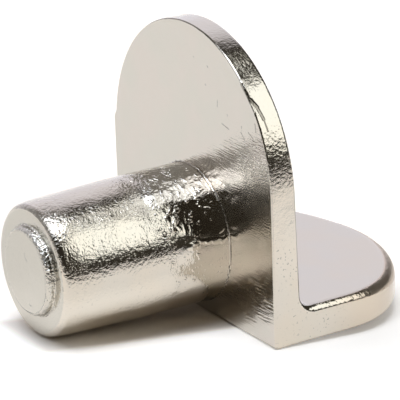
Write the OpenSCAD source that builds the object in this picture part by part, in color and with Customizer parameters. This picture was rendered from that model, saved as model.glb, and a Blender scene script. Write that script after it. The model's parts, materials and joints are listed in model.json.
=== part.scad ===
// Cast shelf support pin: a round pin that pushes into a hole in the cabinet side, a plate with an
// arched top that lies against that side, and a ledge that carries the shelf.
// Frame: origin on the pin's axis at the plate's seating face. +X runs along the plate's width,
// -Y runs out along the pin, +Y out along the ledge, and +Z points up. Millimetres.

/* [Plate] */
// Width of the plate and of the ledge
plate_w = 12.7; // [11.5:0.1:14]
// Height from the underside to the top of the arch
plate_h = 12.95; // [12.2:0.05:16]
// Thickness at the top of the arch
plate_t_top = 1.08; // [0.8:0.02:1.2]
// Thickness at the underside: the face on the shelf's side has a casting draft
plate_t_foot = 1.38; // [1.24:0.02:1.8]
// Sideways offset of the arch: it is flush with the +X flank and leaves a step on the other
arch_shift = 0.08; // [0.02:0.01:0.2]
// Height of the step on the -X flank, above the arch's centre
step_rise = 0.44; // [0.2:0.02:0.8]
// Slope of the step
step_angle = 58; // [45:1:65]
// Rounding of the seating face's rim
rim_r = 0.08; // [0.05:0.01:0.2]
// Rounding of the edge between the seating face and the underside
toe_r = 0.2; // [0.1:0.05:0.4]

/* [Ledge] */
// Reach of the ledge from the seating face
ledge_reach = 9.1; // [8:0.05:12]
// Thickness of the ledge
ledge_t = 1.54; // [1.3:0.02:2]
// Length of the curved end
end_depth = 5.19; // [4.9:0.01:5.4]
// Corner radius of the curved end
end_corner_r = 4.45; // [3.8:0.05:4.7]
// Rounding of the top edge
ledge_top_r = 0.25; // [0.15:0.05:0.4]
// Rounding of the bottom edge
ledge_foot_r = 0.12; // [0.05:0.01:0.2]
// Fillet between the ledge and the plate
inner_fillet_r = 0.58; // [0.3:0.02:1]

/* [Pin] */
// Radius of the parallel land beside the plate
pin_r = 3.07; // [2.95:0.01:3.3]
// Length of the parallel land
pin_land = 3.8; // [3:0.1:5]
// Length of the pin, from the seating face to its flat end
pin_len = 7.98; // [7:0.02:12]
// How much the radius drops from the land to the end
pin_taper = 0.13; // [0.02:0.01:0.2]
// Rounding of the end's edge
pin_end_r = 0.26; // [0.1:0.02:0.4]
// Height of the pin's axis above the underside
pin_z = 3.49; // [3.35:0.01:4.5]
// Radius of the raised boss on the end
boss_r = 1.94; // [1:0.01:2.05]
// Height of the raised boss
boss_h = 0.38; // [0.3:0.01:0.6]
// Rounding of the boss's edge
boss_edge_r = 0.25; // [0.05:0.01:0.28]
// Offset of the boss from the pin's axis, along the plate's width
boss_x = 0.13; // [-0.25:0.01:0.25]
// Offset of the boss from the pin's axis, upwards
boss_z = 0.1; // [-0.1:0.01:0.1]

/* [Hidden] */
$fn = 128;
metal = [0.82, 0.79, 0.76];

half_w = plate_w / 2;
arch_r = half_w - arch_shift;
arch_z = plate_h - arch_r;
step_z = arch_z + step_rise;
// width of the strip of flank that runs on above the arch's centre
step_w = 1;
draft = (plate_t_foot - plate_t_top) / plate_h;
draft_angle = atan(draft);
// the solids run this far into one another
lap = 0.4;
// the drafted wedge ends this high, clear of the arch
wedge_top = plate_h + lap;

// centres and angles of the ledge's end: two corner arcs tangent to the flanks and to a crown arc
end_y = ledge_reach - end_depth;
corner_x = half_w - end_corner_r;
crown_drop = (corner_x ^ 2 - (end_depth - end_corner_r) ^ 2) / (2 * (end_depth - end_corner_r));
crown_r = end_depth + crown_drop;
corner_angle = atan2(crown_drop, corner_x);

end_r = pin_r - pin_taper;
end_round_y = pin_len - pin_end_r;

// thickness of the plate at a height above the underside
function plate_t(z) = plate_t_foot - draft * z;

// a rectangle from the axis out to r, with its two outer corners rounded
module rounded_section(r, h, r_low, r_high) {
    square([r - max(r_low, r_high), h]);
    translate([0, r_low]) square([r, h - r_low - r_high]);
    square([r - r_low, r_low]);
    translate([0, h - r_high]) square([r - r_high, r_high]);
    translate([r - r_low, r_low]) circle(r_low);
    translate([r - r_high, h - r_high]) circle(r_high);
}

// a rectangle from the axis out to r, with only the lower outer corner rounded
module half_rounded_section(r, h, r_low) {
    square([r - r_low, h]);
    translate([0, r_low]) square([r, h - r_low]);
    translate([r - r_low, r_low]) circle(r_low);
}

// the plate seen from above, with the rim of its seating face rounded
module plate_plan() {
    half_rounded_section(half_w, plate_t_foot + lap, rim_r);
    mirror([1, 0]) half_rounded_section(half_w, plate_t_foot + lap, rim_r);
}

// the lower plate seen along the pin: straight flanks, the -X one running on up to the step
module flank_outline() {
    polygon([
        [-half_w, ledge_foot_r],
        [-half_w, step_z],
        [-half_w + step_w, step_z + step_w * tan(step_angle)],
        [-half_w + step_w, arch_z],
        [half_w, arch_z],
        [half_w, ledge_foot_r],
    ]);
    translate([-half_w + ledge_foot_r, 0]) square([plate_w - 2 * ledge_foot_r, ledge_foot_r]);
    for (side = [-1, 1])
        translate([side * (half_w - ledge_foot_r), ledge_foot_r]) circle(ledge_foot_r);
}

// the plate's side view: upright seating face, drafted back and a rounded toe
module wedge_outline() {
    difference() {
        polygon([
            [0, 0],
            [plate_t(0), 0],
            [plate_t(wedge_top), wedge_top],
            [0, wedge_top],
        ]);
        square(toe_r);
    }
    translate([toe_r, toe_r]) circle(toe_r);
}

// turns an outline drawn in y and z so that it runs along the plate's width
module across_width(w) {
    rotate([90, 0, 90]) linear_extrude(w, center = true) children();
}

module arch() {
    translate([arch_shift, 0, arch_z])
        rotate([-90, 0, 0])
            rotate_extrude(angle = 180, start = 180)
                half_rounded_section(arch_r, plate_t_foot + lap, rim_r);
}

module lower_plate() {
    intersection() {
        linear_extrude(plate_h) plate_plan();
        translate([0, plate_t_foot + lap, 0])
            rotate([90, 0, 0]) linear_extrude(plate_t_foot + lap) flank_outline();
    }
}

module plate() {
    intersection() {
        across_width(plate_w + 2 * lap) wedge_outline();
        union() {
            arch();
            lower_plate();
        }
    }
}

module ledge_sector(r, from, sweep) {
    rotate_extrude(angle = sweep, start = from)
        rounded_section(r, ledge_t, ledge_foot_r, ledge_top_r);
}

module ledge_half() {
    translate([0, end_y, 0])
        rotate([90, 0, 0])
            linear_extrude(end_y - plate_t_foot + lap)
                rounded_section(half_w, ledge_t, ledge_foot_r, ledge_top_r);
    translate([corner_x, end_y, 0]) ledge_sector(end_corner_r, 0, corner_angle);
}

module ledge() {
    for (side = [0, 1])
        mirror([side, 0, 0]) ledge_half();
    translate([0, end_y - crown_drop, 0])
        ledge_sector(crown_r, corner_angle, 180 - 2 * corner_angle);
}

// the inner corner's fillet, tangent to the ledge and to the drafted back of the plate
module inner_fillet() {
    fillet_z = ledge_t + inner_fillet_r;
    fillet_y = plate_t(fillet_z) + inner_fillet_r / cos(draft_angle);
    back_z = fillet_z - inner_fillet_r * sin(draft_angle);
    across_width(plate_w)
        difference() {
            polygon([
                [plate_t_foot - lap, ledge_foot_r],
                [fillet_y, ledge_foot_r],
                [fillet_y, fillet_z],
                [plate_t(back_z), back_z],
                [plate_t_foot - lap, back_z],
            ]);
            translate([fillet_y, fillet_z]) circle(inner_fillet_r);
        }
}

// half of the pin's section: parallel land, slight taper, rounded end
module pin_section() {
    polygon([
        [0, -lap],
        [pin_r, -lap],
        [pin_r, pin_land],
        [end_r, end_round_y],
        [0, end_round_y],
    ]);
    translate([0, end_round_y]) {
        square([end_r - pin_end_r, pin_end_r]);
        translate([end_r - pin_end_r, 0])
            intersection() {
                circle(pin_end_r);
                square(pin_end_r);
            }
    }
}

// half of the boss's section, from inside the pin out to its rounded edge
module boss_section() {
    square([boss_r, lap + boss_h - boss_edge_r]);
    square([boss_r - boss_edge_r, lap + boss_h]);
    translate([boss_r - boss_edge_r, lap + boss_h - boss_edge_r]) circle(boss_edge_r);
}

module pin() {
    translate([0, 0, pin_z])
        rotate([90, 0, 0]) {
            rotate_extrude() pin_section();
            translate([boss_x, boss_z, pin_len - lap]) rotate_extrude() boss_section();
        }
}

module shelf_pin() {
    color(metal)
        translate([0, 0, -pin_z]) {
            plate();
            ledge();
            inner_fillet();
            pin();
        }
}

shelf_pin();
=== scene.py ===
"""Shelf support pin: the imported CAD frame, dressed as a plated zinc casting on a white table."""
import json
import math
from types import SimpleNamespace

import bpy
import numpy as np
from mathutils import Matrix, Vector


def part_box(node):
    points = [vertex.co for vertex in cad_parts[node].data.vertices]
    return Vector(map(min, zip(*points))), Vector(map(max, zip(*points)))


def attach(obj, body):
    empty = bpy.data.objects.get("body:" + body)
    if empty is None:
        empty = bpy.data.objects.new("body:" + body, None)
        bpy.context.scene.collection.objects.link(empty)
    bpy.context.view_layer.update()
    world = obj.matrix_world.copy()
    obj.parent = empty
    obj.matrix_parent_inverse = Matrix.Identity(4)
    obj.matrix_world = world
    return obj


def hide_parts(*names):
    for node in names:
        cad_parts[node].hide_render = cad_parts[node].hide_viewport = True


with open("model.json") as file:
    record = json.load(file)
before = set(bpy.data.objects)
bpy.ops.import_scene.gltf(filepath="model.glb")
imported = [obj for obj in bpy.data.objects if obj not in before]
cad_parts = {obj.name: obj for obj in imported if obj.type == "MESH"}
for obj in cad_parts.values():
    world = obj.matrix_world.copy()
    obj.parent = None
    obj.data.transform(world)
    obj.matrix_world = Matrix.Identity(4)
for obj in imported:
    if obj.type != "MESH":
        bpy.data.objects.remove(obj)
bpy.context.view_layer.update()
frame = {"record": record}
NODE = "shelf_pin"
MM = 0.001

# ---------------------------------------------------------------- sizes, in millimetres
low, high = (np.array(c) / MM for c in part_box(NODE))
PIN_MOUNT = next(m for m in frame["record"]["mounts"] if m["name"] == "pin")
HALF_W = (high[0] - low[0]) / 2
UNDER_Z = low[2]

# plate: the arch's centre and radius, and the casting step on its left flank
ARCH_X = 0.08
ARCH_R = HALF_W - ARCH_X
ARCH_Z = high[2] - ARCH_R
STEP_Z = ARCH_Z + 0.44
STEP_SLOPE = math.tan(math.radians(58))
# plate: its thickness at the foot, how much it thins with height, and its edge radii
PLATE_T_FOOT = 1.38
PLATE_DRAFT = 0.30 / (high[2] - low[2])
RIM_R = 0.065
BACK_RIM_R = 0.13
TOE_R = 0.20
# plate: the cut in its front rim, by depth, slope, the angles where it fades in and out, and least depth
NICK_DEPTH = 0.15
NICK_SLOPE = 3.2
NICK_FADES = ((50, 40), (32, 38))
NICK_LEAST = 0.004

# ledge: its thickness, its end's depth and corner arcs, and the fillet to the plate
LEDGE_T = 1.54
LEDGE_END = high[1]
END_DEPTH = 5.19
END_R = 4.45
FILLET_R = 0.58
# ledge: its upper edge's radius on the near side, how much that grows along it, and the radius on the
# far side, then how much the radius of its other edge grows
TOP_R = 0.36
TOP_R_GROWTH = 0.30
TOP_R_FAR = 0.10
END_R_GROWTH = 0.2

# pin: the parallel land's radius and length, the taper to its end, how the end draws in, how deep it
# starts in the plate, and its root's fillet
PIN_R = PIN_MOUNT["dims"]["r_mm"]
PIN_LAND = PIN_MOUNT["dims"]["length_mm"]
BOSS_H = 0.38
PIN_LEN = -low[1] - BOSS_H
PIN_END_R = 2.94
PIN_EDGE_R = 0.26
DRAW_IN = 0.10
DRAW_IN_LEN = 1.0
PIN_SUNK = 0.8
ROOT_R = 0.02
# boss on the pin's end
BOSS_R = 1.94
BOSS_EDGE_R = 0.25
BOSS_ROOT_R = 0.05
BOSS_X, BOSS_Z = 0.13, 0.10


# ---------------------------------------------------------------- distance field of the casting
def smooth(a, b, x):
    """0 at a and 1 at b, with a smooth step between them."""
    t = np.clip((x - a) / (b - a), 0, 1)
    return t * t * (3 - 2 * t)


def meet(a, b, r):
    """Intersection of two distances, with the edge rounded to radius r."""
    u, v = a + r, b + r
    return np.minimum(np.maximum(u, v), 0) + np.hypot(np.maximum(u, 0), np.maximum(v, 0)) - r


def join(a, b, r):
    """Union of two distances, with the inner corner filleted to radius r."""
    u, v = np.maximum(r - a, 0), np.maximum(r - b, 0)
    return np.maximum(r, np.minimum(a, b)) - np.hypot(u, v)


def arch_outline(x, z):
    """The plate seen along the pin."""
    flank = np.abs(x) - HALF_W
    below = np.maximum(flank, z - ARCH_Z)
    dome = np.hypot(x - ARCH_X, z - ARCH_Z) - ARCH_R
    slope_n = math.hypot(STEP_SLOPE, 1)
    slant = (z - STEP_Z - (x + HALF_W) * STEP_SLOPE) / slope_n
    stub = np.maximum(np.maximum(-x - HALF_W, x + HALF_W - 1), np.maximum(slant, ARCH_Z - 1 - z))
    return np.minimum(np.minimum(below, dome), stub)


def end_outline(x, y):
    """The ledge seen from above: flanks, two corner arcs and a crown arc."""
    base = LEDGE_END - END_DEPTH
    cx = HALF_W - END_R
    rise = END_DEPTH - END_R
    drop = (cx * cx - rise * rise) / (2 * rise)
    ax = np.abs(x)
    corner = np.hypot(ax - cx, y - base) - END_R
    crown = np.hypot(ax, y - base + drop) - (END_DEPTH + drop)
    in_crown = (y - base) * cx > (ax - cx) * drop
    arcs = np.where(in_crown, crown, corner)
    return np.where(y > base, arcs, ax - HALF_W)


def side_profile(y, z):
    """The plate and the ledge seen along the plate's width, with the fillet between them."""
    up = z - UNDER_Z
    back = (y - PLATE_T_FOOT + PLATE_DRAFT * up) / math.hypot(1, PLATE_DRAFT)
    ell = join(back, up - LEDGE_T, FILLET_R)
    return np.maximum(ell, meet(-y, -up, TOE_R))


def rim_nick(x, y, z, outline):
    """A slanted cut into the arch's front rim, which fades in and out along it."""
    angle = np.degrees(np.arctan2(z - ARCH_Z, x - ARCH_X))
    fade_in, fade_out = (smooth(*span, angle) for span in NICK_FADES)
    depth = NICK_DEPTH * fade_in * fade_out
    cut = (NICK_SLOPE * outline - y + depth) / math.hypot(NICK_SLOPE, 1)
    return np.where(depth > NICK_LEAST, cut, -1)


def bracket(x, y, z):
    """The plate and the ledge, with an edge radius that varies from place to place."""
    up = z - UNDER_Z
    outline = np.maximum(arch_outline(x, z), end_outline(x, y))
    side = np.maximum(side_profile(y, z), rim_nick(x, y, z, outline))
    top_r = TOP_R + TOP_R_GROWTH * smooth(3.5, 8.0, y)
    top_r = TOP_R_FAR + (top_r - TOP_R_FAR) * smooth(-5.5, -1.5, x)
    r = RIM_R + (BACK_RIM_R - RIM_R) * smooth(0.3, 0.9, y) + END_R_GROWTH * smooth(5.0, 8.0, y)
    r = r + (top_r - r) * smooth(1.3, 2.1, y) * smooth(0.6, 1.0, up)
    return meet(outline, side, r)


def pin(x, y, z):
    """The pin with its parallel land, its taper and the boss on its end. s runs outwards along it."""
    s = -y
    rho = np.hypot(x, z)
    taper = (PIN_R - PIN_END_R) / (PIN_LEN - PIN_EDGE_R - PIN_LAND)
    wall = rho - PIN_R + taper * np.maximum(s - PIN_LAND, 0)
    wall = wall + DRAW_IN * np.maximum(s - PIN_LEN + DRAW_IN_LEN, 0) ** 2
    shank = meet(wall, s - PIN_LEN, PIN_EDGE_R)
    boss = meet(np.hypot(x - BOSS_X, z - BOSS_Z) - BOSS_R, s - PIN_LEN - BOSS_H, BOSS_EDGE_R)
    return np.maximum(join(shank, boss, BOSS_ROOT_R), -s - PIN_SUNK)


def casting(p):
    x, y, z = p[:, 0], p[:, 1], p[:, 2]
    return join(bracket(x, y, z), pin(x, y, z), ROOT_R)


# ---------------------------------------------------------------- mesh from the field
def lines(*spans):
    """Grid lines from (start, end, step) spans that follow on from one another."""
    parts = []
    for a, b, step in spans:
        n = max(1, round((b - a) / step))
        parts.append(np.linspace(a, b, n, endpoint=False))
    return np.concatenate(parts + [[spans[-1][1]]])


def gradient(field, p, h=2e-3):
    """Central differences of the field, a step of h to each side."""
    g = np.empty_like(p)
    for i in range(3):
        d = np.zeros(3)
        d[i] = h
        g[:, i] = (field(p + d) - field(p - d)) / (2 * h)
    return g


def surface_net(field, xs, ys, zs):
    """Vertices and quads of the field's zero surface, one vertex in each cell that it crosses."""
    gx, gy, gz = np.meshgrid(xs, ys, zs, indexing="ij")
    val = field(np.column_stack([gx.ravel(), gy.ravel(), gz.ravel()])).reshape(gx.shape)
    neg = val < 0
    nx, ny, nz = (len(a) - 1 for a in (xs, ys, zs))
    count = sum(
        neg[i:nx + i, j:ny + j, k:nz + k].astype(np.int8)
        for i in (0, 1) for j in (0, 1) for k in (0, 1)
    )
    cell = np.argwhere((count > 0) & (count < 8))
    index = -np.ones((nx, ny, nz), np.int64)
    index[tuple(cell.T)] = np.arange(len(cell))
    axes = (xs, ys, zs)
    total, hits = np.zeros((len(cell), 3)), np.zeros(len(cell))
    for axis in range(3):
        others = [a for a in range(3) if a != axis]
        for i in (0, 1):
            for j in (0, 1):
                a = cell.copy()
                a[:, others[0]] += i
                a[:, others[1]] += j
                b = a.copy()
                b[:, axis] += 1
                va, vb = val[tuple(a.T)], val[tuple(b.T)]
                cross = (va < 0) != (vb < 0)
                t = np.where(cross, va / np.where(cross, va - vb, 1), 0)
                pa = np.column_stack([axes[m][a[:, m]] for m in range(3)])
                pb = np.column_stack([axes[m][b[:, m]] for m in range(3)])
                total += np.where(cross[:, None], pa + (pb - pa) * t[:, None], 0)
                hits += cross
    verts = total / hits[:, None]
    quads = []
    for axis in range(3):
        o1, o2 = (axis + 1) % 3, (axis + 2) % 3
        lead = [slice(None)] * 3
        lag = [slice(None)] * 3
        lead[axis], lag[axis] = slice(1, None), slice(None, -1)
        flips = np.argwhere(neg[tuple(lead)] != neg[tuple(lag)])
        inner = (flips[:, o1] > 0) & (flips[:, o2] > 0)
        inner &= (flips[:, o1] < len(axes[o1]) - 1) & (flips[:, o2] < len(axes[o2]) - 1)
        flips = flips[inner]
        ring = []
        for d1, d2 in ((-1, -1), (0, -1), (0, 0), (-1, 0)):
            c = flips.copy()
            c[:, o1] += d1
            c[:, o2] += d2
            ring.append(index[tuple(c.T)])
        ring = np.column_stack(ring)
        inward = neg[tuple(flips.T)]
        ring[~inward] = ring[~inward][:, ::-1]
        quads.append(ring)
    return verts, np.concatenate(quads)


# limits that keep each settling step short: the least squared slope, and the longest step in millimetres
LEAST_SLOPE = 0.2
LONGEST_STEP = 0.1


def settle(field, p, rounds=5):
    """Moves points along the field's gradient onto its zero surface."""
    for _ in range(rounds):
        g = gradient(field, p)
        step = field(p)[:, None] * g / np.maximum((g * g).sum(1), LEAST_SLOPE)[:, None]
        p = p - np.clip(step, -LONGEST_STEP, LONGEST_STEP)
    return p


def make_casting():
    """The casting's mesh, with grid lines set close where edges and fillets are."""
    xs = lines((low[0] - 0.1, -6.0, 0.09), (-6.0, 6.0, 0.13), (6.0, high[0] + 0.1, 0.05))
    ys = lines((low[1] - 0.1, -7.4, 0.07), (-7.4, -0.24, 0.12), (-0.24, 0.36, 0.05),
               (0.36, 1.6, 0.08), (1.6, high[1] + 0.15, 0.12))
    zs = lines((low[2] - 0.1, low[2] + 0.3, 0.08), (low[2] + 0.3, low[2] + 1.1, 0.13),
               (low[2] + 1.1, low[2] + 1.7, 0.06), (low[2] + 1.7, high[2] + 0.15, 0.12))
    verts, quads = surface_net(casting, xs, ys, zs)
    verts = settle(casting, verts)
    mesh = bpy.data.meshes.new("shelf_pin_casting")
    mesh.from_pydata((verts * MM).tolist(), [], quads.tolist())
    mesh.update()
    mesh.shade_smooth()
    g = gradient(casting, verts, 6e-3)
    g /= np.linalg.norm(g, axis=1)[:, None]
    mesh.normals_split_custom_set_from_vertices(g.tolist())
    obj = bpy.data.objects.new("shelf_pin_casting", mesh)
    bpy.context.scene.collection.objects.link(obj)
    return obj


# ---------------------------------------------------------------- node helpers
class Nodes:
    """Small helper that adds nodes to a tree and links them as it goes."""

    def __init__(self, tree):
        self.tree = tree
        tree.nodes.clear()

    def add(self, kind, **settings):
        node = self.tree.nodes.new(kind)
        for key, value in settings.items():
            setattr(node, key, value)
        return node

    def put(self, socket, value):
        if isinstance(value, bpy.types.NodeSocket):
            self.tree.links.new(value, socket)
        else:
            socket.default_value = value

    def math(self, op, a, b=None):
        node = self.add("ShaderNodeMath", operation=op)
        self.put(node.inputs[0], a)
        if b is not None:
            self.put(node.inputs[1], b)
        return node.outputs[0]

    def both(self, *masks):
        """The product of the masks."""
        total = masks[0]
        for other in masks[1:]:
            total = self.math("MULTIPLY", total, other)
        return total

    def either(self, *masks):
        """The largest of the masks."""
        total = masks[0]
        for other in masks[1:]:
            total = self.math("MAXIMUM", total, other)
        return total

    def limit(self, value):
        """The value kept between 0 and 1. Cycles makes a node's own Clamp a separate step and runs
        it late. In a large material the values held until then can overfill its shader memory."""
        return self.math("MINIMUM", self.math("MAXIMUM", value, 0.0), 1.0)

    def vec(self, op, a, b=None, scale=None):
        node = self.add("ShaderNodeVectorMath", operation=op)
        self.put(node.inputs[0], a)
        if b is not None:
            self.put(node.inputs[1], b)
        if scale is not None:
            self.put(node.inputs["Scale"], scale)
        return node.outputs["Value"] if op in ("DOT_PRODUCT", "LENGTH", "DISTANCE") else node.outputs[0]

    def split(self, vector):
        node = self.add("ShaderNodeSeparateXYZ")
        self.put(node.inputs[0], vector)
        return node.outputs

    def join(self, *parts):
        node = self.add("ShaderNodeCombineXYZ")
        for socket, part in zip(node.inputs, parts):
            self.put(socket, part)
        return node.outputs[0]

    def ramp(self, value, a, b, lo=0.0, hi=1.0, kind="SMOOTHSTEP"):
        """lo up to a and hi from b on. A smooth step needs no clamp for that."""
        node = self.add("ShaderNodeMapRange", interpolation_type=kind, clamp=kind == "LINEAR")
        for name, v in (("Value", value), ("From Min", a), ("From Max", b), ("To Min", lo), ("To Max", hi)):
            self.put(node.inputs[name], v)
        return node.outputs[0]

    def mix(self, factor, a, b):
        node = self.add("ShaderNodeMix", data_type="RGBA")
        self.put(node.inputs[0], factor)
        self.put(node.inputs[6], a)
        self.put(node.inputs[7], b)
        return node.outputs[2]

    def noise(self, vector, scale, detail=2.0, rough=0.5, seed=0.0):
        node = self.add("ShaderNodeTexNoise", noise_dimensions="4D")
        self.put(node.inputs["Vector"], vector)
        for name, v in (("Scale", scale), ("Detail", detail), ("Roughness", rough), ("W", seed)):
            self.put(node.inputs[name], v)
        return node.outputs[0]


def new_material(name):
    mat = bpy.data.materials.new(name)
    mat.use_nodes = True
    return mat, Nodes(mat.node_tree)


# ---------------------------------------------------------------- plated metal
# Colours of the plating. The first two have two tints each, which a slow noise mixes.
NICKEL = ((0.672, 0.609, 0.519, 1), (0.660, 0.612, 0.536, 1))
FACE_NICKEL = ((0.634, 0.586, 0.529, 1), (0.618, 0.589, 0.527, 1))
TIP_NICKEL = (0.556, 0.527, 0.463, 1)
BOSS_NICKEL = (0.600, 0.565, 0.500, 1)
# painted shade: browner, darker copies of the plating on the ledge's sides, its upper edge and its end wall
FLANK_SHADED_NICKEL = (0.634, 0.555, 0.455, 1)
LEDGE_EDGE_SHADED_NICKEL = (0.660, 0.550, 0.440, 1)
LEDGE_END_SHADED_NICKEL = (0.545, 0.475, 0.392, 1)
# Darker colours on it: a darker patch low in the worn area, painted shade and painted dark reflections
# along edges, and the pits and marks. Then how much of them shows, and how strong the painted lines at the
# foot and the pin's end are beside the others.
DARK_PATCH = (0.32, 0.285, 0.225, 1)
# painted shade in the crease and along the bottom edge, and painted dark reflections along the rims and the
# pin's end
PAINTED_EDGE_SHADE = (0.18, 0.155, 0.12, 1)
PIT_DARK = (0.16, 0.14, 0.11, 1)
DARKENING_SHARE = 0.75
EDGE_LINE_SHARE = 0.5

# Heights of the bumps, in millimetres.
PEBBLE_H = 0.0205
SWELL_H = 0.026
CRUMPLE_H = 0.034
BENT_H = 0.036
DIMPLE_H = 0.030
RIPPLE_H = 0.022
SPECK_H = 0.022
COARSE_H = 0.0042
STROKE_H = 0.0070
LOWER_STROKE_H = 0.027
FINE_H = 0.0018
DENT_H = -0.012
BLISTER_H = 0.045
MOUND_H = 0.05
FLOW_H = 0.022

# Roughness of the plating between its least and most, and what some zones add to it.
ROUGH_LEAST, ROUGH_MOST = 0.045, 0.07
FACE_ROUGH = 0.06
SCUFF_ROUGH = 0.05
TIP_ROUGH = 0.12
FAR_END_ROUGH = 0.08
LEDGE_EDGE_END_ROUGH = 0.20
LEDGE_EDGE_ROUGH = 0.05
CREASE_ROUGH = 0.18

# Short marks: both ends and the half width in millimetres, then the strength.
FACE_MARKS = (
    ((2.43, 0, 6.56), (2.40, 0, 6.28), 0.020, 0.5),
    ((2.72, 0, 5.62), (3.24, 0, 5.50), 0.020, 0.5),
    ((5.28, 0, 6.24), (5.33, 0, 5.93), 0.030, 0.8),
    ((4.75, 0, 5.75), (5.15, 0, 5.55), 0.020, 0.5),
    ((4.20, 0, 5.60), (4.45, 0, 5.35), 0.026, 0.6),
    ((1.70, 0, 7.90), (1.76, 0, 7.86), 0.030, 0.5),
    ((0.62, 0, 8.06), (0.66, 0, 8.04), 0.022, 0.4),
    ((1.50, 0, 7.05), (1.54, 0, 7.01), 0.024, 0.5),
    ((3.17, 0, 6.10), (3.18, 0, 6.08), 0.032, 0.5),
    ((4.24, 0, 5.86), (4.24, 0, 5.82), 0.024, 0.6),
)
TIP_MARKS = (
    ((0.16, -8.36, 0.96), (0.24, -8.36, 0.78), 0.020, 0.5),
    ((0.24, -8.36, 0.78), (0.38, -8.36, 0.68), 0.016, 0.5),
    ((0.40, -8.36, -1.28), (0.50, -8.36, -1.30), 0.028, 0.6),
)
NICK_MARKS = (
    ((4.30, 0.02, 7.72), (4.87, 0.04, 7.17), 0.055, 0.9),
    ((4.87, 0.06, 7.17), (5.12, 0.22, 6.90), 0.085, 1.0),
    ((5.12, 0.22, 6.90), (5.45, 0.33, 6.44), 0.060, 0.9),
    ((5.45, 0.33, 6.44), (5.70, 0.36, 5.98), 0.026, 0.8),
)
# a mark fades in between these multiples of its half width
MARK_OUTER, MARK_INNER = 1.5, 0.6


def marks(n, point, strokes):
    """Mask of thin strokes laid on the surface, each fading out around its half width."""
    total = 0.0
    for start, end, half, strength in strokes:
        span = Vector(end) - Vector(start)
        away = n.vec("SUBTRACT", point, tuple(start))
        along = n.limit(n.math("DIVIDE", n.vec("DOT_PRODUCT", away, tuple(span)), span.length_squared))
        gap = n.vec("DISTANCE", away, n.vec("SCALE", tuple(span), scale=along))
        total = n.math("MAXIMUM", total, n.ramp(gap, half * MARK_OUTER, half * MARK_INNER, 0.0, strength))
    return total


def find_place(n):
    """Where the shaded point is, from the mesh: millimetres, distance from the pin's axis, and normal."""
    coords = n.add("ShaderNodeTexCoord")
    mm = n.vec("SCALE", coords.outputs["Object"], scale=1 / MM)
    x, y, z = n.split(mm)
    nx, ny, nz = n.split(coords.outputs["Normal"])
    rho = n.vec("LENGTH", n.join(x, 0.0, z))
    upright = n.math("ABSOLUTE", ny)
    return SimpleNamespace(mm=mm, x=x, y=y, z=z, rho=rho, nx=nx, ny=ny, nz=nz, upright=upright)


# The zones below are smooth steps: of x, y, z and rho in millimetres, and of the normal's nx, ny and nz.
def pin_zones(n, at):
    """Masks on the pin and its parts, and flat_y, which is all that faces along the pin."""
    on_pin = n.ramp(at.y, -0.05, -0.12)
    flat_y = n.ramp(at.upright, 0.9, 0.98)
    end = n.ramp(at.y, -7.6, -7.75)
    return SimpleNamespace(
        on_pin=on_pin,
        flat_y=flat_y,
        root=n.both(on_pin, n.ramp(at.y, -2.9, -2.3), n.ramp(at.z, 2.5, 2.0)),
        shoulder=n.both(on_pin, n.ramp(at.y, -3.4, -2.6), n.ramp(at.z, 2.0, 2.5)),
        end=end,
        end_flat=n.both(end, flat_y),
        boss_wall=n.both(n.ramp(at.y, -7.94, -8.0), n.ramp(at.upright, 0.97, 0.9)),
    )


def plate_zones(n, at):
    """Masks off the pin: all of that, the plate's face, its worn patch and where its strokes lie."""
    off_pin = n.ramp(at.y, -0.12, -0.05)
    face = n.both(off_pin, n.ramp(at.ny, -0.93, -0.99))
    uneven = n.ramp(n.noise(at.mm, 1.2, detail=2.0, seed=95.0), 0.3, 0.55, 0.55, 1.0)
    scuffed = n.both(face, uneven, n.ramp(at.x, 2.4, 5.4), n.ramp(at.z, 6.6, 4.2), n.ramp(at.z, -0.6, 2.2))
    beside_pin = n.both(face, n.ramp(at.z, 1.8, 0.8), n.ramp(at.z, -1.9, -0.9), n.ramp(at.x, 0.5, 3.0))
    stroked = n.both(face, n.ramp(at.x, 0.5, 3.0), n.ramp(at.z, 6.6, 5.0))
    stroked = n.limit(n.math("SUBTRACT", stroked, beside_pin))
    broken = n.ramp(n.noise(at.mm, 0.9, detail=2.0, seed=97.0), 0.4, 0.55, 0.15, 1.0)
    outer = n.ramp(n.math("ABSOLUTE", at.x), 1.8, 4.4)
    lower = n.both(face, broken, outer, n.ramp(at.z, 0.0, -1.6), n.ramp(at.z, -3.4, -2.2))
    return SimpleNamespace(off_pin=off_pin, face=face, scuffed=scuffed, stroked=stroked, lower=lower)


def ledge_zones(n, at):
    """Masks on the ledge: its top, its upper edge, the sides and underside, and its far end."""
    beyond = n.ramp(at.y, 1.6, 2.0)
    ledge = n.both(n.ramp(at.z, -1.2, -1.5), beyond)
    return SimpleNamespace(
        top=n.both(ledge, n.ramp(at.nz, 0.9, 0.98)),
        edge=n.both(ledge, n.ramp(at.nz, 0.05, 0.25), n.ramp(at.nz, 0.98, 0.93)),
        flank=n.both(n.ramp(at.y, 2.2, 5.0), n.ramp(at.nz, 0.3, 0.1)),
        far_end=n.both(beyond, n.ramp(at.y, 4.5, 7.5)),
    )


def crease_line(n, at):
    """Mask of the broken line of painted shade where the pin meets the plate."""
    patches = n.ramp(n.noise(at.mm, 1.7, detail=1.0, seed=91.0), 0.4, 0.6, 0.25, 1.0)
    return n.both(n.ramp(n.math("ABSOLUTE", n.math("ADD", at.y, 0.012)), 0.038, 0.024),
                  n.ramp(at.rho, PIN_R + 0.05, PIN_R + 0.03),
                  n.either(patches, n.ramp(at.z, 0.7, 0.2, 0.0, 0.9)))


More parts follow.
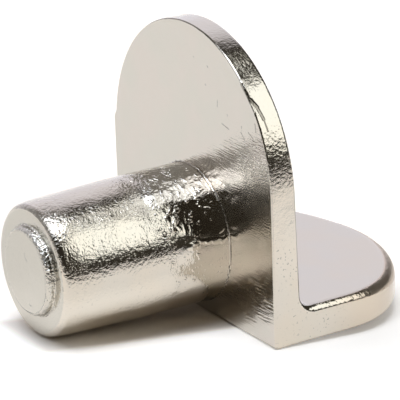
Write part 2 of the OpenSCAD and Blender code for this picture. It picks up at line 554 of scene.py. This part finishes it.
def edge_shade_lines(n, at, pin, plate, crease):
    """Mask of the painted lines along edges: shade in the crease and along the bottom edge, and dark
    reflections along both rims of the arch and round the pin's end.
    """
    underline = n.both(plate.off_pin, n.ramp(at.nz, -0.25, -0.6),
                       n.ramp(at.z, UNDER_Z + 0.4, UNDER_Z + 0.2))
    end_rim = n.both(pin.end, n.ramp(at.rho, 2.3, 2.6), n.ramp(at.ny, -0.95, -0.8),
                     n.ramp(at.ny, -0.2, -0.45), n.ramp(at.nz, 0.25, 0.45))
    back_rim = n.both(n.ramp(at.ny, 0.25, 0.45), n.ramp(at.nx, 0.2, 0.4),
                      n.ramp(at.z, 6.0, 4.0), n.ramp(at.y, 1.6, 1.3))
    front_rim = n.both(plate.off_pin, n.ramp(at.ny, -0.97, -0.85), n.ramp(at.ny, -0.1, -0.35),
                       n.ramp(at.z, 8.45, 8.85, 0.3, 1.0), n.ramp(at.z, 6.8, 7.8))
    thin = n.math("MULTIPLY", n.either(underline, end_rim), EDGE_LINE_SHARE)
    return n.either(thin, crease, back_rim, front_rim)


def skin_weight(n, at, pin, plate, ledge):
    """How strong the pebbled casting skin is: none on the plate's face, and the most on the boss's wall."""
    calm = n.both(plate.off_pin, n.ramp(at.z, 1.6, 0.2))
    patchy = n.noise(at.mm, 0.9, detail=1.0, seed=21.0)
    arch_top = n.both(plate.off_pin, n.ramp(at.z, 5.4, 6.4))
    skin = n.both(n.math("SUBTRACT", 1.0, n.either(pin.flat_y, ledge.top)),
                  n.ramp(calm, 0.0, 1.0, 1.0, 0.3),
                  n.ramp(pin.root, 0.0, 1.0, 1.0, 0.3))
    skin = n.both(skin, n.ramp(patchy, 0.35, 0.65, 0.7, 1.35), n.ramp(arch_top, 0.0, 1.0, 1.0, 0.72))
    for more in (
        n.both(plate.off_pin, n.ramp(at.ny, -0.5, -0.2), n.ramp(at.z, 3.3, 4.2),
               n.ramp(at.z, 6.0, 5.0, 0.0, 0.4)),
        n.both(pin.boss_wall, 2.2),
        n.both(pin.shoulder, 0.4),
        n.both(pin.on_pin, n.ramp(at.z, 1.6, 2.4, 0.0, 0.3), n.ramp(at.y, -2.0, -3.0)),
        n.both(pin.on_pin, n.ramp(at.y, -6.4, -7.4, 0.0, 0.5)),
        n.both(pin.on_pin, n.ramp(at.y, -3.0, -3.6), n.ramp(at.z, -0.1, 0.4),
               n.ramp(at.z, 1.6, 1.0, 0.0, 0.3)),
    ):
        skin = n.math("ADD", skin, more)
    return skin


def creased_weight(n, at, pin):
    """How crumpled the pin is: most on its shoulder and at the boss."""
    creased = n.both(pin.on_pin, n.ramp(at.y, -3.5, -2.7), n.ramp(at.y, -0.7, -1.8, 0.45, 1.0),
                     n.ramp(at.z, 0.2, 1.4, 0.25, 1.0))
    creased = n.math("ADD", creased, n.math("MULTIPLY", pin.shoulder, 1.3))
    return n.math("ADD", creased, n.math("MULTIPLY", pin.boss_wall, 1.2))


def pits(n, at, pin, plate):
    """Mask of small pits, mostly on the sides of the plate's foot and of the ledge's near half."""
    spots = n.ramp(n.noise(at.mm, 9.0, detail=0.0, seed=71.0), 0.66, 0.74)
    spots = n.both(spots, n.ramp(n.noise(at.mm, 1.5, detail=1.0, seed=75.0), 0.38, 0.6, 0.25, 1.0))
    foot = n.both(plate.off_pin, n.ramp(at.upright, 0.6, 0.4), n.ramp(at.z, 3.0, 0.5),
                  n.ramp(at.y, 4.5, 2.5), n.ramp(at.nz, 0.5, 0.2))
    pitted = n.math("ADD", n.math("MULTIPLY", pin.on_pin, 0.15), n.math("MULTIPLY", pin.root, 0.2))
    return n.both(spots, n.limit(n.math("ADD", n.math("MULTIPLY", foot, 0.42), pitted)))


def blister(n, at, pin):
    """Mask of the raised blister beside the pin's root."""
    gap = n.vec("LENGTH", n.join(n.math("DIVIDE", n.math("ADD", at.y, 1.78), 0.34),
                                 n.math("DIVIDE", n.math("SUBTRACT", at.z, 0.60), 0.19),
                                 n.ramp(at.x, 1.0, 0.0, 0.0, 2.0)))
    return n.both(n.ramp(gap, 1.1, 0.4), pin.on_pin)


def flow_line(n, at, pin):
    """Mask of the wandering line that runs from the blister to the plate."""
    wander = n.math("MULTIPLY", n.math("SUBTRACT", n.noise(at.mm, 1.6, detail=2.0, seed=31.0), 0.5), 0.9)
    gap = n.math("ABSOLUTE", n.math("SUBTRACT", n.math("ADD", at.z, wander), 0.62))
    return n.both(pin.on_pin, n.ramp(gap, 0.16, 0.0), n.ramp(at.y, -2.0, -1.6), n.ramp(at.x, 2.0, 2.4))


def mound(n, at):
    """Mask of a shallow step up on the pin's shoulder, which dies out towards the plate."""
    gap = n.vec("LENGTH", n.join(n.math("SUBTRACT", at.x, 1.76), 0.0, n.math("SUBTRACT", at.z, 2.51)))
    return n.both(n.ramp(gap, 0.9, 0.2), n.ramp(at.y, -3.5, -2.6), n.ramp(at.y, -1.5, -2.5))


def add_height(n, total, part, height, *weights):
    """The total with one more bump part, as high as given where its weights are 1."""
    term = n.both(n.math("MULTIPLY", part, height), *weights)
    return n.math("ADD", total, term)


def casting_height(n, at, pin, plate, ledge):
    """Height of the casting skin: pebbles, slow swells, the crumpled shoulder and the bent ledge edge."""
    quiet = n.either(ledge.top, n.ramp(at.ny, 0.9, 0.98))
    creased = creased_weight(n, at, pin)
    crumple = n.noise(at.mm, 2.8, detail=1.5, rough=0.6, seed=9.0)
    stretched = n.vec("MULTIPLY", at.mm, (1.4, 5.5, 1.4))
    pebble = n.noise(at.mm, 7.0, detail=2.0, rough=0.6)
    total = add_height(n, 0.0, pebble, PEBBLE_H, skin_weight(n, at, pin, plate, ledge))
    swell = n.noise(at.mm, 1.1, detail=1.0, seed=4.0)
    total = add_height(n, total, swell, SWELL_H, n.ramp(quiet, 0.0, 1.0, 1.0, 0.15))
    total = add_height(n, total, crumple, CRUMPLE_H, creased)
    bent = n.noise(at.mm, 4.6, detail=1.5, rough=0.6, seed=61.0)
    total = add_height(n, total, bent, BENT_H, ledge.edge)
    total = add_height(n, total, n.ramp(crumple, 0.60, 0.68), DIMPLE_H, creased)
    ripple = n.noise(stretched, 1.0, detail=1.5, rough=0.6, seed=81.0)
    return add_height(n, total, ripple, RIPPLE_H, pin.shoulder)


def stroke_height(n, at, plate, total):
    """Adds the wear on the plate's face: specks in the worn patch and strokes across it."""
    specks = n.noise(at.mm, 13.0, detail=1.0, rough=0.6, seed=51.0)
    total = add_height(n, total, specks, SPECK_H, plate.scuffed)
    coarse_at = n.join(n.math("MULTIPLY", at.x, 1.3), 0.0, n.math("MULTIPLY", at.z, 13.0))
    coarse = n.noise(coarse_at, 1.0, detail=1.0, seed=2.0)
    worn = n.both(plate.face, n.ramp(n.noise(at.mm, 0.7, detail=1.0, seed=41.0), 0.35, 0.6, 0.5, 1.3))
    for height, weight in ((COARSE_H, worn), (STROKE_H, plate.stroked), (LOWER_STROKE_H, plate.lower)):
        total = add_height(n, total, coarse, height, weight)
    fine_at = n.join(n.math("MULTIPLY", at.x, 3.0), 0.0, n.math("MULTIPLY", at.z, 42.0))
    fine = n.noise(fine_at, 1.0, detail=1.0, seed=3.0)
    return add_height(n, total, fine, FINE_H, worn)


def plating_colour(n, at, pin, plate, ledge, shaded_edges, dents):
    """The slow noise that tints the plating, and its colour with all zones, the painted shade on edges and
    on the ledge, and the darker pits, marks and patch.
    """
    tint = n.noise(at.mm, 0.45, detail=2.0, seed=11.0)
    warm = n.ramp(tint, 0.35, 0.65)
    colour = n.mix(warm, *NICKEL)
    colour = n.mix(plate.face, colour, n.mix(warm, *FACE_NICKEL))
    for zone, shade in (
        (pin.end_flat, TIP_NICKEL),
        (pin.boss_wall, BOSS_NICKEL),
        # painted shade on the ledge: its sides, its upper edge and its end wall
        (ledge.flank, FLANK_SHADED_NICKEL),
        (n.both(ledge.edge, n.ramp(at.y, 2.0, 5.0)), LEDGE_EDGE_SHADED_NICKEL),
        (n.both(ledge.far_end, n.ramp(at.nz, 0.3, 0.1)), LEDGE_END_SHADED_NICKEL),
        # a darker patch low in the worn area, beside the pin's root
        (n.both(plate.scuffed, n.ramp(at.z, 5.2, 3.4), DARKENING_SHARE), DARK_PATCH),
        # painted shade and painted dark reflections along edges
        (n.both(shaded_edges, DARKENING_SHARE), PAINTED_EDGE_SHADE),
        (n.both(dents, DARKENING_SHARE), PIT_DARK),
    ):
        colour = n.mix(zone, colour, shade)
    return tint, colour


def plating_roughness(n, at, tint, pin, plate, ledge, crease):
    """The plating's roughness, which some zones add to."""
    rough = n.ramp(tint, 0.3, 0.7, ROUGH_LEAST, ROUGH_MOST)
    for zone, more in (
        (plate.face, FACE_ROUGH),
        (plate.scuffed, SCUFF_ROUGH),
        (pin.end_flat, TIP_ROUGH),
        (ledge.far_end, FAR_END_ROUGH),
        (n.both(ledge.edge, n.ramp(at.y, 2.5, 6.0)), LEDGE_EDGE_END_ROUGH),
        (ledge.edge, LEDGE_EDGE_ROUGH),
        (crease, CREASE_ROUGH),
    ):
        rough = n.math("ADD", rough, n.math("MULTIPLY", zone, more))
    return rough


def plated_metal():
    """Bright nickel over a zinc casting, with all its bumps in one height."""
    mat, n = new_material("nickel_plated_zinc")
    out = n.add("ShaderNodeOutputMaterial")
    bsdf = n.add("ShaderNodeBsdfPrincipled")
    n.put(out.inputs["Surface"], bsdf.outputs[0])
    at = find_place(n)
    pin_at, plate, ledge = pin_zones(n, at), plate_zones(n, at), ledge_zones(n, at)
    crease = crease_line(n, at)
    # painted shade in the crease and along the bottom edge, painted dark reflections along the rims and the
    # pin's end
    shaded_edges = edge_shade_lines(n, at, pin_at, plate, crease)
    marked = marks(n, at.mm, FACE_MARKS + TIP_MARKS + NICK_MARKS)
    dents = n.either(pits(n, at, pin_at, plate), marked)
    tint, colour = plating_colour(n, at, pin_at, plate, ledge, shaded_edges, dents)
    rough = plating_roughness(n, at, tint, pin_at, plate, ledge, crease)

    height = casting_height(n, at, pin_at, plate, ledge)
    height = stroke_height(n, at, plate, height)
    height = add_height(n, height, dents, DENT_H)
    height = add_height(n, height, blister(n, at, pin_at), BLISTER_H)
    height = add_height(n, height, mound(n, at), MOUND_H)
    height = add_height(n, height, flow_line(n, at, pin_at), FLOW_H)
    bump = n.add("ShaderNodeBump")
    n.put(bump.inputs["Height"], height)
    bump.inputs["Distance"].default_value = MM
    bump.inputs["Strength"].default_value = 1.0

    bsdf.inputs["Metallic"].default_value = 1.0
    n.put(bsdf.inputs["Base Color"], colour)
    n.put(bsdf.inputs["Roughness"], rough)
    n.put(bsdf.inputs["Normal"], bump.outputs[0])
    return mat


# ---------------------------------------------------------------- stage
# how much the table falls for each unit of Y, where the plate's toe touches it in millimetres, and half
# its width in metres
FLOOR_SLOPE = 0.071
FLOOR_TOUCH_Y = 0.1
FLOOR_HALF = 1.5
# colours: the table, the shadow painted on it under the pin and the shade painted on its far side, then the
# glow on it, near and far
TABLE = (0.94, 0.875, 0.79, 1)
TABLE_PAINTED_SHADOW = (0.76, 0.68, 0.58, 1)
TABLE_FAR_SHADE = (0.16, 0.155, 0.15, 1)
GLOW = (1, 1, 1, 1)
GLOW_FAR = (0.17, 0.175, 0.185, 1)
# the patch under the pin, where the table's shadow is painted and its glow is left out: its middle and half
# size in millimetres, and its skew in X for each unit of Y
PATCH_X, PATCH_Y = 1.05, -3.7
PATCH_HALF_X, PATCH_HALF_Y = 1.75, 4.5
PATCH_SKEW = 0.14
# the way to the far side, behind the camera, and where its painted shade starts and ends, in millimetres
FAR_WAY = (0.94, -0.34, 0.0)
FADE_FROM, FADE_TO = 16.0, 160.0


def patch_distance(n, px, py):
    """Distance in millimetres from the slightly skewed box that lies under the pin."""
    askew = n.math("SUBTRACT", px, n.math("MULTIPLY", py, PATCH_SKEW))
    out_x = n.math("SUBTRACT", n.math("ABSOLUTE", n.math("SUBTRACT", askew, PATCH_X)), PATCH_HALF_X)
    out_y = n.math("SUBTRACT", n.math("ABSOLUTE", n.math("SUBTRACT", py, PATCH_Y)), PATCH_HALF_Y)
    return n.vec("LENGTH", n.vec("MAXIMUM", n.join(out_x, out_y, 0.0), (0.0, 0.0, 0.0)))


def floor_material():
    mat, n = new_material("white_table")
    out = n.add("ShaderNodeOutputMaterial")
    diffuse = n.add("ShaderNodeBsdfDiffuse")
    # painted shade: the table's colour darkens towards its far side, behind the camera, standing in for the
    # dark of the room
    place = n.add("ShaderNodeTexCoord").outputs["Object"]
    ahead = n.vec("DOT_PRODUCT", place, FAR_WAY)
    fade = n.ramp(n.math("DIVIDE", ahead, MM), FADE_FROM, FADE_TO, kind="LINEAR")
    fade = n.math("POWER", fade, 0.5)
    px, py, _ = n.split(n.vec("SCALE", place, scale=1 / MM))
    away = patch_distance(n, px, py)
    clear = n.ramp(away, 0.0, 0.8)
    # painted shadow: the table is darker and browner in the patch under the pin, fading out towards the
    # pin's end
    near = n.mix(n.either(clear, n.ramp(py, -4.5, -7.5)), TABLE_PAINTED_SHADOW, TABLE)
    n.put(diffuse.inputs["Color"], n.mix(fade, near, TABLE_FAR_SHADE))
    # painted light: the background's extra white, seen by the camera and in the metal, left out of the
    # pin's shadow, strongest in a ring just outside it and raised towards the ledge's end, where it
    # lightens the ledge's shadow
    glow = n.add("ShaderNodeEmission")
    n.put(glow.inputs["Color"], n.mix(fade, GLOW, GLOW_FAR))
    rays = n.add("ShaderNodeLightPath").outputs
    seen = n.either(rays["Is Camera Ray"], n.either(rays["Is Glossy Ray"], rays["Is Transmission Ray"]))
    # painted light: strongest just outside the pin's shadow, and more beyond the ledge's end
    level = n.math("ADD", n.ramp(away, 1.5, 6.0, 0.31, 0.15), n.ramp(py, 4.0, 8.0, 0.0, 0.06))
    n.put(glow.inputs["Strength"], n.math("MULTIPLY", seen, n.math("MULTIPLY", clear, level)))
    lit = n.add("ShaderNodeAddShader")
    n.put(lit.inputs[0], diffuse.outputs[0])
    n.put(lit.inputs[1], glow.outputs[0])
    n.put(out.inputs["Surface"], lit.outputs[0])
    return mat


def make_floor():
    """A table top, tilted so that the pin's end and the plate's toe both touch it."""
    mesh = bpy.data.meshes.new("table")
    z0 = (UNDER_Z + FLOOR_SLOPE * FLOOR_TOUCH_Y) * MM
    ring = [(FLOOR_HALF * sx, FLOOR_HALF * sy) for sx, sy in ((-1, -1), (1, -1), (1, 1), (-1, 1))]
    mesh.from_pydata([(a, b, z0 - FLOOR_SLOPE * b) for a, b in ring], [], [(0, 1, 2, 3)])
    obj = bpy.data.objects.new("table", mesh)
    bpy.context.scene.collection.objects.link(obj)
    mesh.materials.append(floor_material())


# a panel is cut off where the direction gets this near to its horizon
PANEL_LEAST_DEPTH = 0.02


def panel(n, direction, azimuth, elevation, half_w, half_h, soft_w, soft_h, turn=0.0):
    """Mask of a far rectangular light panel. Azimuth is from +X towards +Y, in degrees."""
    a, e, t = (math.radians(v) for v in (azimuth, elevation, turn))
    facing = Vector((math.cos(a) * math.cos(e), math.sin(a) * math.cos(e), math.sin(e)))
    side = Vector((-math.sin(a), math.cos(a), 0))
    up = facing.cross(side)
    side, up = side * math.cos(t) + up * math.sin(t), up * math.cos(t) - side * math.sin(t)
    depth = n.vec("DOT_PRODUCT", direction, tuple(facing))
    safe = n.math("MAXIMUM", depth, PANEL_LEAST_DEPTH)
    mask = n.math("GREATER_THAN", depth, PANEL_LEAST_DEPTH)
    for axis, half, soft in ((side, half_w, soft_w), (up, half_h, soft_h)):
        near, far = (math.tan(math.radians(half + s)) for s in (-soft, soft))
        offset = n.math("ABSOLUTE", n.math("DIVIDE", n.vec("DOT_PRODUCT", direction, tuple(axis)), safe))
        mask = n.math("MULTIPLY", mask, n.ramp(offset, far, near))
    return mask


# the room's own light, then the panels in it
ROOM = (0.046, 0.042, 0.034, 1)
PANELS = (
    # (azimuth, elevation, half width, half height, softness of each), turn, light
    ((200, 55, 42, 18, 8, 6), 0, (0.26, 0.25, 0.25, 1)),         # ceiling on the left
    ((228, 12, 34, 34, 7, 8), 0, (0.40, 0.41, 0.43, 1)),         # wall in front, left
    ((161, 12, 34, 37, 6, 15), 0, (0.945, 0.94, 1.05, 1)),       # white wall behind
    ((67, 70.5, 14, 8.0, 5, 2), 0, (1.15, 1.19, 1.19, 1)),       # glow between the softboxes
    ((41.5, 38, 16.5, 21.4, 3, 4), -10, (1.53, 1.59, 1.57, 1)),  # softbox behind, right
    ((-92, 73, 16.5, 31, 2.5, 2.5), -7, (2.2, 2.42, 2.8, 1)),    # softbox overhead
    ((-48, 83, 11, 11, 3, 3), 0, (8.0, 8.7, 9.95, 1)),           # and its lamp
)


def make_world():
    """A dark room with far light panels, each laid over the ones before it."""
    world = bpy.data.worlds.new("studio")
    bpy.context.scene.world = world
    world.use_nodes = True
    n = Nodes(world.node_tree)
    out = n.add("ShaderNodeOutputWorld")
    back = n.add("ShaderNodeBackground")
    n.put(out.inputs["Surface"], back.outputs[0])
    direction = n.add("ShaderNodeTexCoord").outputs["Generated"]
    colour = ROOM
    for shape, turn, light in PANELS:
        colour = n.mix(panel(n, direction, *shape, turn=turn), colour, light)
    n.put(back.inputs["Color"], colour)
    back.inputs["Strength"].default_value = 1.0


# ---------------------------------------------------------------- camera
# where it stands: angles in degrees, with azimuth from -Y towards +X, and millimetres from its target
CAM_AZIMUTH, CAM_ELEVATION, CAM_ROLL = 58.20, 19.21, -2.03
CAM_DISTANCE = 121.7
CAM_TARGET = Vector((0, 1.06, UNDER_Z + 6.35))
# how far it then turns away from the target, in degrees, and its lens
CAM_YAW, CAM_PITCH = 0.21575, -0.74287
CAM_LENS_MM = 253.35
SENSOR_MM = 36.0
CLIP_NEAR, CLIP_FAR = 0.005, 20.0


def make_camera():
    """A long lens, turned so that the target lands a little off the frame's centre."""
    a, e, roll, yaw, pitch = (
        math.radians(v) for v in (CAM_AZIMUTH, CAM_ELEVATION, CAM_ROLL, CAM_YAW, CAM_PITCH)
    )
    back = Vector((math.sin(a) * math.cos(e), -math.cos(a) * math.cos(e), math.sin(e)))
    ahead = -back
    right = ahead.cross(Vector((0, 0, 1))).normalized()
    up = right.cross(ahead)
    right, up = right * math.cos(roll) + up * math.sin(roll), up * math.cos(roll) - right * math.sin(roll)
    ahead, right = (ahead * math.cos(yaw) - right * math.sin(yaw),
                    right * math.cos(yaw) + ahead * math.sin(yaw))
    ahead, up = (ahead * math.cos(pitch) + up * math.sin(pitch),
                 up * math.cos(pitch) - ahead * math.sin(pitch))
    cam = bpy.data.cameras.new("camera")
    cam.sensor_width = SENSOR_MM
    cam.lens = CAM_LENS_MM
    cam.clip_start, cam.clip_end = CLIP_NEAR, CLIP_FAR
    obj = bpy.data.objects.new("camera", cam)
    bpy.context.scene.collection.objects.link(obj)
    turn = Matrix((right, up, -ahead)).transposed().to_4x4()
    obj.matrix_world = Matrix.Translation((CAM_TARGET + back * CAM_DISTANCE) * MM) @ turn
    bpy.context.scene.camera = obj


# ---------------------------------------------------------------- build
piece = make_casting()
piece.data.materials.append(plated_metal())
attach(piece, "root")
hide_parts(NODE)
make_floor()
make_world()
make_camera()
bpy.context.scene.view_settings.view_transform = "Standard"
